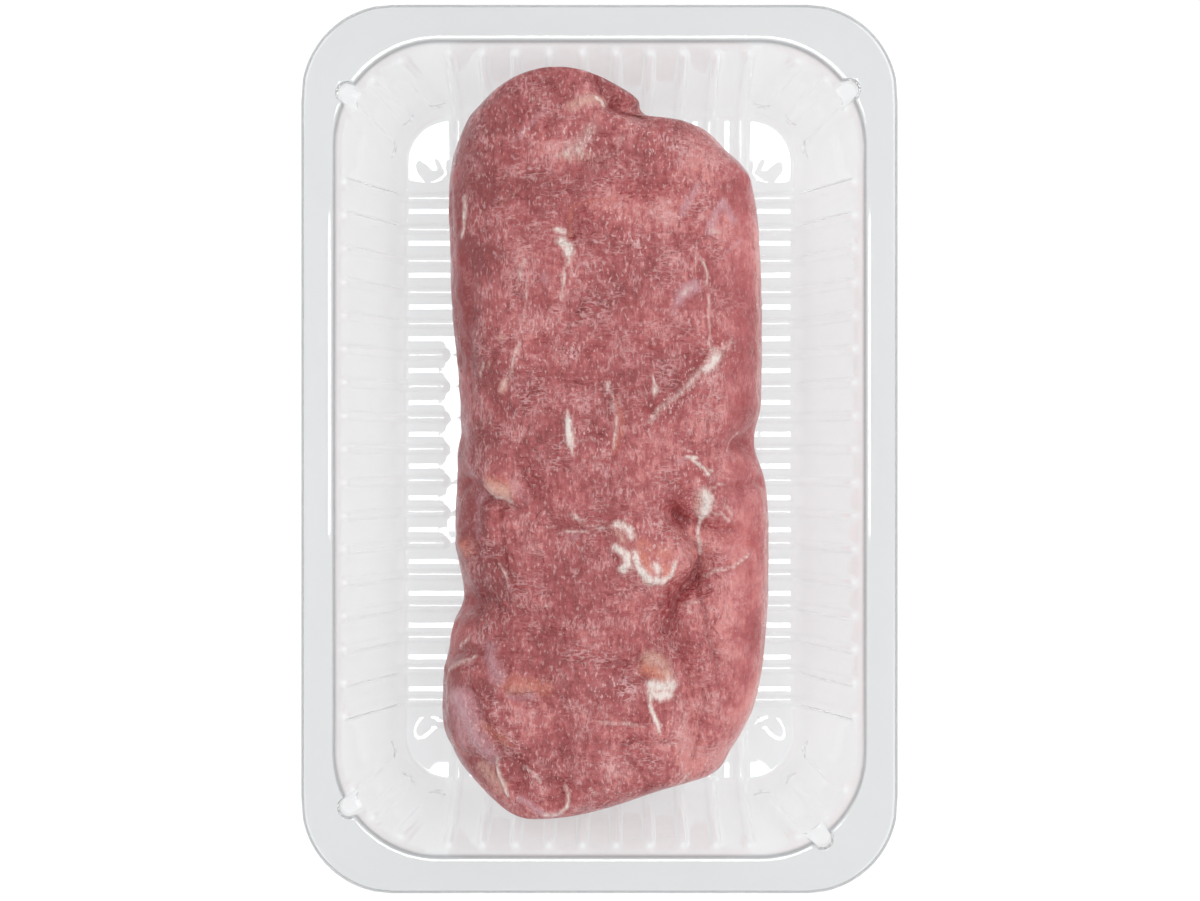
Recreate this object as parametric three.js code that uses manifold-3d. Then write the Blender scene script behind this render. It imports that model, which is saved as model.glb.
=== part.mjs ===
// Meat tray pack: a clear thermoformed tray with one piece of raw pork lying in it.
// Millimetres, X across the tray, Y along it, Z up, origin at the centre of the flat underside.

import * as THREE from "three";
import { mergeVertices } from "three/addons/utils/BufferGeometryUtils.js";
import Module from "manifold-3d";

const wasm = await Module();
wasm.setup();

// Tray, seen from above: half sizes of its lip, flat rim, mouth, wall foot and floor
const trayHeight = 50;
const sheet = 0.6;
const lipHalf = { width: 89, length: 132.5, corner: 27.5 };
const lipDrop = 4;
const rimHalf = { width: 87.5, length: 131, corner: 26 };
const mouthHalf = { width: 78.7, length: 121, corner: 31 };
const shoulderIn = 1.5;
const shoulderDrop = 4.5;
const footHalf = { width: 64.7, length: 108.3, corner: 17 };
const footHeight = 5.5;
const floorRun = 4;

// Stiffening ribs, raised into the tray on its walls and floor
const ribPitch = 10;
const ribHeight = 1.4;
const ribBase = 1.8;
const ribCrest = 1.2;
const ribRise = 3;
const ribEndRun = 1.4;
const sideRibs = 8;
const shortSideRibs = 3;
const endRibs = 5;
const shortRibReach = 50;
const longRibReach = 30;
const endRibReach = 85;
const cornerRibBase = 2.15;
const cornerRibCrest = 1.4;
const cornerFill = 2;

// Round pockets at the edge of the mouth, which keep stacked trays apart
const pocketRadius = 2.8;
const pocketDepth = 7;
const pocketSides = 24;
const pocketPlaces = [
  [-75.1, 105.9],
  [74.2, 106.8],
  [-74.5, -106.5],
  [66.2, -115.7],
];

// Meat: its outline from above as [y, x], its ends and its thickness
const meatLeft = [
  [111.4, -29.2], [107.5, -35], [99.7, -41.6], [83.8, -46.5], [45, -45.7], [6.2, -42.6],
  [-2.5, -44], [-28.4, -44.5], [-45.7, -42], [-54.4, -45.4], [-80.3, -48.8], [-92.4, -45.6],
  [-104.2, -36.1], [-108.1, -31.1],
];
const meatRight = [
  [111.4, 4.2], [107.5, 11.5], [103, 14.6], [99.7, 29.8], [91.8, 39.8], [83.8, 46.5],
  [62.4, 49.7], [14.8, 50.1], [1.9, 47.9], [-11, 51.6], [-37, 52.5], [-63, 51],
  [-80.3, 47.6], [-92.4, 41], [-100.3, 34.7], [-104.2, 20.3], [-108.1, 6.9],
];
const meatTopEnd = { x: -12.9, y: 115.3, z: 39.5 };
const meatBottomEnd = { x: -20, y: -112, z: 37 };
const meatUnderside = 2.4;
const meatTop = 42.3;
const meatWidest = 0.45;
const meatUndercut = { start: 92, power: 2.5 };
const meatShoulder = 95;
const meatSquareness = { top: 2.5, under: 3.2 };
const meatRings = 52;
const meatSides = 36;

// Broad folds and swellings of the meat's top: a line from one point to another, its width and
// how far it rises, less than nothing for a fold
const meatFolds = [
  { from: [14.6, 102.5], to: [3, 110], width: 5, rise: -3.5 },
  { from: [27, 86], to: [-8, 74], width: 7, rise: -1.8 },
  { from: [-22, 95], to: [-34, 60], width: 12, rise: -1.2 },
  { from: [42, 31], to: [16, 8], width: 7, rise: 1 },
  { from: [48, 1], to: [24, -21], width: 8, rise: -1.8 },
  { from: [24, -21], to: [33, -34], width: 7, rise: -2.2 },
  { from: [33, -34], to: [18, -53], width: 7, rise: -1.8 },
  { from: [29, -70], to: [32, -98], width: 8, rise: -1.8 },
  { from: [-42, -47], to: [-20, -60], width: 8, rise: -1.6 },
  { from: [16, -32], to: [4, -36], width: 13, rise: 1.4 },
  { from: [-38, -72], to: [-30, -90], width: 13, rise: 1.2 },
  { from: [-5, 60], to: [0, -10], width: 24, rise: 0.6 },
];

// A row is one line round the tray, from the lip in to the floor
function trayRows() {
  const floorTop = sheet;
  const shoulder = inset(mouthHalf, shoulderIn);
  const shoulderZ = trayHeight - shoulderDrop;
  const ribStartShare = ribRise / (shoulderZ - footHeight);
  return [
    { ...lipHalf, z: trayHeight - lipDrop },
    { ...rimHalf, z: trayHeight },
    { ...mouthHalf, z: trayHeight },
    { ...shoulder, z: shoulderZ, ribbed: true, lift: 0, cornerLift: 0 },
    {
      ...between(shoulder, footHalf, ribStartShare),
      z: shoulderZ - ribRise, ribbed: true, lift: 1, cornerLift: 1,
    },
    { ...footHalf, z: footHeight, ribbed: true, lift: 1, cornerLift: 1 },
    { ...inset(footHalf, floorRun), z: floorTop, ribbed: true, lift: 1, cornerLift: 0, spread: true },
    { ...ribEndRow(0), z: floorTop, ribbed: true, lift: 1, cornerLift: 0, spread: true },
    { ...ribEndRow(ribEndRun), z: floorTop, ribbed: true, lift: 0, cornerLift: 0, spread: true },
  ];
}

function inset(half, distance) {
  return {
    width: half.width - distance,
    length: half.length - distance,
    corner: half.corner - distance,
  };
}

function between(a, b, share) {
  return {
    width: a.width + (b.width - a.width) * share,
    length: a.length + (b.length - a.length) * share,
    corner: a.corner + (b.corner - a.corner) * share,
  };
}

function ribEndRow(back) {
  const corner = 2.3 - back;
  return { width: shortRibReach - back, length: endRibReach - back, corner, back, ribEnds: true };
}

// How far a point moves for each millimetre of thickness or rib, out from the middle and up
function addMitres(rows) {
  const normals = [];
  for (let i = 0; i + 1 < rows.length; i += 1) {
    const run = rows[i + 1].width - rows[i].width;
    const rise = rows[i + 1].z - rows[i].z;
    const size = Math.hypot(run, rise);
    normals.push([rise / size, -run / size]);
  }
  rows.forEach((row, i) => {
    const before = normals[Math.max(i - 1, 0)];
    const after = normals[Math.min(i, normals.length - 1)];
    const scale = 1 + before[0] * after[0] + before[1] * after[1];
    row.out = (before[0] + after[0]) / scale;
    row.up = (before[1] + after[1]) / scale;
  });
  return rows;
}

// A quarter of a row is measured by its length from the middle of the long side
function quarter(row) {
  const centre = [row.width - row.corner, row.length - row.corner];
  const arc = (row.corner * Math.PI) / 2;
  return { centre, arc, total: centre[1] + arc + centre[0] };
}

function pointOnQuarter(row, station) {
  const { centre, arc } = quarter(row);
  const along = station.along;
  if (along <= centre[1]) {
    const x = row.ribEnds && station.reach ? station.reach - row.back : row.width;
    return { x, y: along, nx: 1, ny: 0 };
  }
  if (along >= centre[1] + arc) {
    return { x: centre[0] - (along - centre[1] - arc), y: row.length, nx: 0, ny: 1 };
  }
  const angle = (along - centre[1]) / row.corner;
  const nx = Math.cos(angle);
  const ny = Math.sin(angle);
  return { x: centre[0] + nx * row.corner, y: centre[1] + ny * row.corner, nx, ny };
}

// Where a line parallel to the corner's diagonal, at a distance to its side, meets the row
function diagonalAlong(row, aside) {
  const { centre, arc } = quarter(row);
  const sine = Math.max(-1, Math.min(1, aside / row.corner));
  const angle = Math.PI / 4 + Math.asin(sine);
  const held = Math.max(0, Math.min(Math.PI / 2, angle));
  return centre[1] + (held / (Math.PI / 2)) * arc;
}

function ribStations(middle, reach) {
  return [
    { along: middle - ribBase, lift: 0, reach },
    { along: middle - ribCrest, lift: 1, reach },
    { along: middle + ribCrest, lift: 1, reach },
    { along: middle + ribBase, lift: 0, reach },
  ];
}

function cornerStations(row, start, end) {
  const asides = [];
  for (const rib of [-1, 0, 1]) {
    const middle = rib * ribPitch;
    asides.push([middle - cornerRibBase, 0], [middle - cornerRibCrest, 1]);
    asides.push([middle + cornerRibCrest, 1], [middle + cornerRibBase, 0]);
    if (rib < 1) {
      asides.push([middle + ribPitch / 2, 0]);
    }
  }
  const all = asides.length + 2 * cornerFill;
  if (row.spread) {
    return Array.from({ length: all }, (_, i) => (
      { along: start + ((end - start) * (i + 1)) / (all + 1), lift: 0 }
    ));
  }
  const ribs = asides.map(([aside, lift]) => (
    { along: diagonalAlong(row, aside), lift: lift * row.cornerLift }
  ));
  const first = ribs[0].along;
  const last = ribs[ribs.length - 1].along;
  const fill = (a, b) => Array.from({ length: cornerFill }, (_, i) => (
    { along: a + ((b - a) * (i + 1)) / (cornerFill + 1), lift: 0 }
  ));
  return [...fill(start, first), ...ribs, ...fill(last, end)];
}

function ribbedStations(row) {
  const { total } = quarter(row);
  const side = [
    { along: ribCrest, lift: 1, reach: shortRibReach },
    { along: ribBase, lift: 0, reach: shortRibReach },
  ];
  for (let n = 1; n <= sideRibs; n += 1) {
    const reach = n <= shortSideRibs ? shortRibReach : longRibReach;
    side.push(...ribStations(n * ribPitch, reach));
  }
  const end = [];
  for (let n = endRibs; n >= 1; n -= 1) {
    end.push(...ribStations(total - (n - 0.5) * ribPitch));
  }
  const scaled = [...side, ...end].map((s) => ({ ...s, lift: s.lift * row.lift }));
  const start = side[side.length - 1].along;
  const corner = cornerStations(row, start, end[0].along);
  return [...scaled.slice(0, side.length), ...corner, ...scaled.slice(side.length)];
}

function plainStations(row) {
  const { centre, arc, total } = quarter(row);
  const arcSteps = 8;
  const stations = [0.25, 0.7].map((share) => ({ along: centre[1] * share, lift: 0 }));
  for (let i = 0; i <= arcSteps; i += 1) {
    stations.push({ along: centre[1] + (arc * i) / arcSteps, lift: 0 });
  }
  stations.push({ along: total - centre[0] * 0.4, lift: 0 });
  return stations;
}

// The whole closed line, counter-clockwise from above, moved by a depth below the upper face
function rowLoop(row, depth) {
  const stations = row.ribbed ? ribbedStations(row) : plainStations(row);
  const points = stations.map((station) => {
    const at = pointOnQuarter(row, station);
    const move = station.lift * ribHeight - depth;
    return [
      at.x + at.nx * row.out * move,
      at.y + at.ny * row.out * move,
      row.z + row.up * move,
    ];
  });
  const backwards = [...points].reverse();
  return [
    ...points,
    ...backwards.map(([x, y, z]) => [-x, y, z]),
    ...points.map(([x, y, z]) => [-x, -y, z]),
    ...backwards.map(([x, y, z]) => [x, -y, z]),
  ];
}

// Triangles between two lines with the same stations, facing up
function joinLines(triangles, outer, inner) {
  outer.forEach((a, i) => {
    const next = (i + 1) % outer.length;
    triangles.push([a, outer[next], inner[i]], [outer[next], inner[next], inner[i]]);
  });
}

// Triangles between lines with more and fewer stations, by the shorter diagonal, facing up
function stitch(triangles, outer, inner) {
  const gap = (a, b) => Math.hypot(a[0] - b[0], a[1] - b[1], a[2] - b[2]);
  let i = 0;
  let j = 0;
  while (i < outer.length || j < inner.length) {
    const a = outer[i % outer.length];
    const b = inner[j % inner.length];
    const nextA = outer[(i + 1) % outer.length];
    const nextB = inner[(j + 1) % inner.length];
    const outerDone = i >= outer.length;
    const innerDone = j >= inner.length;
    if (innerDone || (!outerDone && gap(nextA, b) <= gap(a, nextB))) {
      triangles.push([a, nextA, b]);
      i += 1;
    } else {
      triangles.push([a, nextB, b]);
      j += 1;
    }
  }
}

function cap(triangles, loop) {
  const contour = loop.map(([x, y]) => new THREE.Vector2(x, y));
  for (const [a, b, c] of THREE.ShapeUtils.triangulateShape(contour, [])) {
    triangles.push([loop[a], loop[b], loop[c]]);
  }
}

function facingDown(triangles) {
  return triangles.map(([a, b, c]) => [a, c, b]);
}

function surface(loops) {
  const triangles = [];
  for (let i = 0; i + 1 < loops.length; i += 1) {
    const join = loops[i].length === loops[i + 1].length ? joinLines : stitch;
    join(triangles, loops[i], loops[i + 1]);
  }
  cap(triangles, loops[loops.length - 1]);
  return triangles;
}

function geometryOf(triangles) {
  const numbers = new Float32Array(triangles.flat(2));
  const geometry = new THREE.BufferGeometry();
  geometry.setAttribute("position", new THREE.BufferAttribute(numbers, 3));
  return mergeVertices(geometry, 1e-4);
}

function solidOf(geometry) {
  const bare = geometry.clone();
  bare.deleteAttribute("normal");
  bare.deleteAttribute("uv");
  const merged = mergeVertices(bare, 1e-4);
  return new wasm.Manifold(new wasm.Mesh({
    numProp: 3,
    vertProperties: new Float32Array(merged.attributes.position.array),
    triVerts: new Uint32Array(merged.index.array),
  }));
}

function geometryFromSolid(solid) {
  const mesh = solid.getMesh();
  const geometry = new THREE.BufferGeometry();
  geometry.setAttribute("position", new THREE.BufferAttribute(mesh.vertProperties, 3));
  geometry.setIndex(new THREE.BufferAttribute(mesh.triVerts, 1));
  return geometry;
}

// The thin sheet of the tray: upper face, underside and the edge of the lip
function traySheet(rows) {
  const upper = rows.map((row) => rowLoop(row, 0));
  const lower = rows.map((row) => rowLoop(row, sheet));
  const top = surface([lower[0], ...upper]);
  const bottom = facingDown(surface(lower));
  return solidOf(geometryOf([...top, ...bottom]));
}

// The space inside the mouth, out to the middle of the sheet, up past the rim
function mouthSpace(rows) {
  const spare = 2;
  const inside = rows.slice(2).map((row) => rowLoop(row, sheet / 2));
  const above = inside[0].map(([x, y]) => [x, y, trayHeight + spare]);
  const sides = facingDown(surface([above, ...inside]));
  const lid = [];
  cap(lid, above);
  return solidOf(geometryOf([...lid, ...sides]));
}

function upright(radius, bottom, top, [x, y]) {
  const post = new THREE.CylinderGeometry(radius, radius, top - bottom, pocketSides);
  post.rotateX(Math.PI / 2);
  post.translate(x, y, (top + bottom) / 2);
  return solidOf(post);
}

function trayGeometry() {
  const rows = addMitres(trayRows());
  const space = mouthSpace(rows);
  const pocketFloor = trayHeight - pocketDepth;
  let tray = traySheet(rows);
  for (const place of pocketPlaces) {
    const cup = upright(pocketRadius + sheet, pocketFloor - sheet, trayHeight, place).subtract(space);
    const hollow = upright(pocketRadius, pocketFloor, trayHeight + 1, place);
    tray = tray.add(cup).subtract(hollow);
  }
  return geometryFromSolid(tray);
}

// A value read from a list of [place, value], places falling, by a smooth curve through them
function along(list, place) {
  if (place >= list[0][0]) {
    return list[0][1];
  }
  for (let i = 0; i + 1 < list.length; i += 1) {
    const [p0, v0] = list[i];
    const [p1, v1] = list[i + 1];
    if (place <= p0 && place >= p1) {
      const before = list[Math.max(i - 1, 0)];
      const after = list[Math.min(i + 2, list.length - 1)];
      const span = p1 - p0;
      const slope0 = ((v1 - before[1]) / (p1 - before[0])) * span;
      const slope1 = ((after[1] - v0) / (after[0] - p0)) * span;
      const t = (place - p0) / span;
      const bend = t * t * (3 - 2 * t);
      return v0 + (v1 - v0) * bend + slope0 * t * (1 - t) ** 2 - slope1 * t * t * (1 - t);
    }
  }
  return list[list.length - 1][1];
}

function edgeList(side) {
  const angleOf = (y) => {
    const middle = (meatTopEnd.y + meatBottomEnd.y) / 2;
    const half = (meatTopEnd.y - meatBottomEnd.y) / 2;
    return Math.asin((y - middle) / half);
  };
  const inner = side.map(([y, x]) => [angleOf(y), x]);
  return [[Math.PI / 2, meatTopEnd.x], ...inner, [-Math.PI / 2, meatBottomEnd.x]];
}

// The meat's underside clears the foot of the end walls, and its top falls to its ends
function meatHeights(y) {
  const end = y > 0 ? meatTopEnd : meatBottomEnd;
  const from = Math.abs(y);
  const to = Math.abs(end.y);
  const undercut = Math.max(0, (from - meatUndercut.start) / (to - meatUndercut.start));
  const shoulder = Math.min(1, Math.max(0, (from - meatShoulder) / (to - meatShoulder)));
  const under = meatUnderside + (end.z - meatUnderside) * undercut ** meatUndercut.power;
  const top = end.z + (meatTop - end.z) * Math.sqrt(1 - shoulder ** 2);
  return { under, top, widest: under + (top - under) * meatWidest };
}

function foldRise(x, y) {
  let rise = 0;
  for (const fold of meatFolds) {
    const dx = fold.to[0] - fold.from[0];
    const dy = fold.to[1] - fold.from[1];
    const share = ((x - fold.from[0]) * dx + (y - fold.from[1]) * dy) / (dx * dx + dy * dy);
    const held = Math.max(0, Math.min(1, share));
    const away = Math.hypot(x - fold.from[0] - dx * held, y - fold.from[1] - dy * held);
    rise += fold.rise * Math.exp(-((away / fold.width) ** 2));
  }
  return rise;
}

// A ball with its poles at the meat's two ends, pulled out to the outline and thickness
function meatGeometry() {
  const ball = new THREE.SphereGeometry(1, meatSides, meatRings);
  const left = edgeList(meatLeft);
  const right = edgeList(meatRight);
  const place = ball.attributes.position;
  const middle = (meatTopEnd.y + meatBottomEnd.y) / 2;
  const half = (meatTopEnd.y - meatBottomEnd.y) / 2;
  for (let i = 0; i < place.count; i += 1) {
    const lengthwise = Math.max(-1, Math.min(1, place.getY(i)));
    const y = middle + half * lengthwise;
    const angle = Math.asin(lengthwise);
    const turn = Math.atan2(place.getZ(i), place.getX(i));
    const across = Math.cos(turn);
    const upward = Math.sin(turn);
    const squareness = upward > 0 ? meatSquareness.top : meatSquareness.under;
    const swell = (value) => Math.sign(value) * Math.abs(value) ** (2 / squareness);
    const x0 = along(left, angle);
    const x1 = along(right, angle);
    const x = (x0 + x1) / 2 + ((x1 - x0) / 2) * swell(across);
    const { under, top, widest } = meatHeights(y);
    const thickness = upward > 0 ? top - widest : widest - under;
    const relief = upward > 0 ? foldRise(x, y) * Math.min(1, upward * 2) * Math.cos(angle) ** 0.5 : 0;
    place.setXYZ(i, x, y, widest + thickness * swell(upward) + relief);
  }
  const bare = ball.clone();
  bare.deleteAttribute("normal");
  bare.deleteAttribute("uv");
  return mergeVertices(bare, 1e-3);
}

function piece(name, geometry, finish) {
  const mesh = new THREE.Mesh(geometry, new THREE.MeshStandardMaterial(finish));
  mesh.name = name;
  return mesh;
}

const clearPlastic = { color: 0xe9eced, roughness: 0.08, metalness: 0, transparent: true, opacity: 0.35 };
const rawPork = { color: 0xb5605f, roughness: 0.38, metalness: 0 };

const group = new THREE.Group();
group.add(piece("tray", trayGeometry(), clearPlastic));
group.add(piece("meat", meatGeometry(), rawPork));

export default group;
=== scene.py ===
import bpy
import bmesh
import math
import numpy as np
from mathutils import Matrix, Vector


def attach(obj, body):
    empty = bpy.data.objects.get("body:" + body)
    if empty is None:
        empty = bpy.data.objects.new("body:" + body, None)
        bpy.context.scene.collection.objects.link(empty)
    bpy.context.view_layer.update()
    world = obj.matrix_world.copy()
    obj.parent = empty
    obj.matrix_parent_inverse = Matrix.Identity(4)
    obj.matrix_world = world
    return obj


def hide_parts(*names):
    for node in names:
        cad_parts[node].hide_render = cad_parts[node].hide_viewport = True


# Ribbed clear tray with one long piece of raw pork. Shapes are worked out in millimetres.

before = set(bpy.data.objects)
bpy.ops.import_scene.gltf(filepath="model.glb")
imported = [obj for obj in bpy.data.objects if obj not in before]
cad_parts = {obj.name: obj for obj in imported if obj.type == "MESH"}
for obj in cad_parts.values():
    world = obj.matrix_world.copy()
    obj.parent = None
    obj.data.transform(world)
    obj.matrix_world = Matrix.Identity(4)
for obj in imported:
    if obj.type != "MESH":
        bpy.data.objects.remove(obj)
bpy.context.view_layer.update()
metres = 0.001


def softStep(value, low, high):
    share = np.clip((value - low) / (high - low), 0, 1)
    return share * share * (3 - 2 * share)


def softNoise(points, size, seed):   # smooth noise from -1 to 1, one hump about every size mm
    table = np.random.default_rng(seed).uniform(-1, 1, 4096)
    cell = points / size
    base = np.floor(cell).astype(int)
    part = cell - base
    part = part * part * (3 - 2 * part)
    total = np.zeros(len(points))
    for corner in range(8):
        step = np.array([corner & 1, (corner >> 1) & 1, (corner >> 2) & 1])
        weight = np.prod(np.where(step == 1, part, 1 - part), axis=1)
        index = (base + step) @ np.array([73, 1179, 2283])
        total += weight * table[index % 4096]
    return total


def pathDistance(points, path, reach):   # distance of points in the plane from a bent line, where near
    nearest = np.full(len(points), 1e9)
    corners = np.array(path)
    inside = (points > corners.min(0) - reach) & (points < corners.max(0) + reach)
    near = np.flatnonzero(inside.all(1))
    for start, end in zip(corners, corners[1:]):
        run = end - start
        offset = points[near] - start
        share = np.clip(offset @ run / max(run @ run, 1e-9), 0, 1)
        away = offset - share[:, None] * run
        nearest[near] = np.minimum(nearest[near], np.hypot(away[:, 0], away[:, 1]))
    return nearest


def newPiece(name, form):
    mesh = bpy.data.meshes.new(name)
    form.to_mesh(mesh)
    form.free()
    mesh.transform(Matrix.Scale(metres, 4))
    mesh.shade_smooth()
    piece = bpy.data.objects.new(name, mesh)
    bpy.context.scene.collection.objects.link(piece)
    return piece


def newNode(tree, kind, values=None, **options):
    node = tree.nodes.new(kind)
    for name, value in options.items():
        setattr(node, name, value)
    for socket, value in (values or {}).items():
        if isinstance(value, bpy.types.NodeSocket):
            tree.links.new(value, node.inputs[socket])
        else:
            node.inputs[socket].default_value = value
    return node


def newRamp(tree, value, shades):   # colours between (place, screen colour)
    ramp = newNode(tree, "ShaderNodeValToRGB", {"Fac": value})
    while len(ramp.color_ramp.elements) < len(shades):
        ramp.color_ramp.elements.new(0.5)
    for element, (place, colour) in zip(ramp.color_ramp.elements, shades):
        element.position = place
        element.color = tint(*colour)
    return ramp


def newMaterial(name):
    material = bpy.data.materials.new(name)
    material.use_nodes = True
    material.node_tree.nodes.clear()
    output = material.node_tree.nodes.new("ShaderNodeOutputMaterial")
    return material, material.node_tree, output


def tint(red, green, blue):   # screen colour from 0 to 255, as a linear colour
    linear = [((v / 255 + 0.055) / 1.055) ** 2.4 for v in (red, green, blue)]
    return (*linear, 1)


# Tray: half sizes seen from above are (across, along, corner radius)
tray = {
    "height": 50,
    "sheet": 0.6,
    "lip": (89, 132.5, 27.5),
    "mouth": (78.7, 121, 31),
    "wallTop": (77.2, 119.5, 29.5, 45.5),   # the last number is its height
    "wallFoot": (64.7, 108.3, 17, 5.5),
    "floorRun": 4,
    "ribPitch": 10,
    "ribHeight": 1.4,
    "ribCrest": 0.7,
    "ribBase": 2.3,
    "cornerRibExtra": 0.3,
    "sideRibs": 8,
    "shortRibs": 3,
    "endRibs": 5,
    "shortReach": 50,
    "longReach": 30,
    "endReach": 88,
    "floorCorner": 54,     # where the plain corner of the floor starts
    "floorStep": 2.5,      # how far the floor's edge takes to get there from the last rib
    "floorMiddle": 84.2,   # half length of the line that the floor closes on
    "ribStart": 41.6,      # height at which the ribs are at their full size
    "ribEase": 0.5,        # how gently they rise to it
    "cornerRibFoot": 9,
    "pockets": [(-75.1, 105.9), (74.2, 106.8), (-74.5, -106.5), (66.2, -115.7)],
    "pocketRadius": 2.8,
    "pocketFloor": 43,
    "domes": [(54, 91), (-54, 91), (54, -91), (-54, -91)],
    "domeRise": 1.1,
    "domeRadius": 4.2,
    "domeCut": 0.14,       # the share of its rise at which a dome ends
    "domeHeight": 9,       # below this height a row takes the domes
}

# Stations across a rib and round a corner, and those added between the corner's ribs and its straights
ribSteps = [0.7, 1.1, 1.5, 1.9, 2.5, 5]
cornerStep = 0.75
cornerEnd = 15.4
cornerRibs = 11.9
cornerFill = 3


def insetHalf(half, distance):
    return tuple(v - distance for v in half[:3])


def betweenHalf(first, second, share):
    return tuple(a + (b - a) * share for a, b in zip(first[:3], second[:3]))


def ribPlaces():   # stations along a quarter of a row: side, corner and end, with their rib offset
    pitch = tray["ribPitch"]
    side = [(step, step) for step in ribSteps]
    for n in range(1, tray["sideRibs"] + 1):
        offsets = [-step for step in ribSteps[-2::-1]] + [0] + ribSteps
        side += [(n * pitch + offset, offset) for offset in offsets]
    side.pop()
    asides = np.arange(-cornerEnd, cornerEnd + 0.01, cornerStep)
    end = []
    for n in range(tray["endRibs"], 0, -1):
        offsets = ribSteps[::-1] + [0] + [-step for step in ribSteps[:-1]]
        end += [((n - 0.5) * pitch + offset, offset) for offset in offsets]
    end.pop(0)
    return np.array(side), asides, np.array(end)


sideStations, cornerAsides, endStations = ribPlaces()


def quarterRow(half, row):   # points of the quarter in front of +X, +Y, with normal and rib offset
    across, along, corner = half
    straight = along - corner
    arc = corner * math.pi / 2
    total = straight + arc + across - corner
    sideEnd = sideStations[-1, 0]
    endStart = total - endStations[0, 0]
    edge = max(corner * 0.7071 * 0.999, 1e-3)
    held = np.abs(cornerAsides)
    squeeze = min(1, max(0, (edge - cornerRibs) / (cornerEnd - cornerRibs)))
    held = np.where(held > cornerRibs, cornerRibs + (held - cornerRibs) * squeeze, held)
    held = np.minimum(held, edge)
    turn = np.pi / 4 + np.arcsin(np.sign(cornerAsides) * held / corner)
    diagonal = straight + turn / (np.pi / 2) * arc
    inner = np.linspace(0, 1, len(cornerAsides) + 2 * cornerFill + 2)[1:-1]
    spread = sideEnd + (endStart - sideEnd) * inner
    if row["spread"] < 1:
        before = np.linspace(sideEnd, diagonal[0], cornerFill + 2)[1:-1]
        after = np.linspace(diagonal[-1], endStart, cornerFill + 2)[1:-1]
        ribbed = np.concatenate([before, diagonal, after])
        cornerAlong = ribbed + (spread - ribbed) * row["spread"]
    else:   # the same places in each row of the floor, so that no two rows cross
        steps = 10
        fixed = sideEnd + np.arange(1, steps + 1) * tray["floorStep"] / steps
        rest = np.linspace(fixed[-1], endStart, len(spread) - steps + 2)[1:-1]
        cornerAlong = np.concatenate([fixed, rest])
    place = np.concatenate([sideStations[:, 0], cornerAlong, total - endStations[:, 0]])
    angle = np.clip((place - straight) / corner, 0, np.pi / 2)
    normal = np.stack([np.cos(angle), np.sin(angle)], axis=1)
    x = across - corner + normal[:, 0] * corner - np.maximum(0, place - straight - arc)
    y = np.where(place < straight, place, straight + normal[:, 1] * corner)
    if row["back"] is not None:
        short = sideStations[:, 0] < (tray["shortRibs"] + 0.5) * tray["ribPitch"] + 0.1
        ribbed = sideStations[:, 0] < tray["sideRibs"] * tray["ribPitch"] + 3
        reach = np.where(short, tray["shortReach"], tray["longReach"]) - row["back"]
        x[:len(reach)] = np.where(ribbed, reach, x[:len(reach)])
        step = softStep(place, sideEnd, sideEnd + tray["floorStep"])
        x = np.where(place > sideEnd, reach[-1] + (x - reach[-1]) * step, x)
    nearestRib = np.round(np.clip(cornerAsides / tray["ribPitch"], -1, 1)) * tray["ribPitch"]
    cornerOffset = cornerAsides - nearestRib
    cornerOffset = np.sign(cornerOffset) * np.maximum(0, np.abs(cornerOffset) - tray["cornerRibExtra"])
    blank = np.full(cornerFill, 9.0)
    offsets = np.concatenate([sideStations[:, 1], blank, cornerOffset, blank, endStations[:, 1]])
    past = np.full(len(offsets), row["past"])
    past[len(sideStations):-len(endStations)] = row["cornerPast"]
    reachOut = np.hypot(offsets, np.maximum(0, past))
    lift = (1 - softStep(reachOut, tray["ribCrest"], tray["ribBase"])) * tray["ribHeight"]
    return x, y, normal, lift


def trayRow(half, z, past=9, cornerPast=9, spread=0, back=None, pocket=None, thickAndEdgeShade=0.0):
    return {"half": half, "z": z, "past": past, "cornerPast": cornerPast, "spread": spread,
            "back": back, "pocket": pocket, "thickAndEdgeShade": thickAndEdgeShade}


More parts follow.
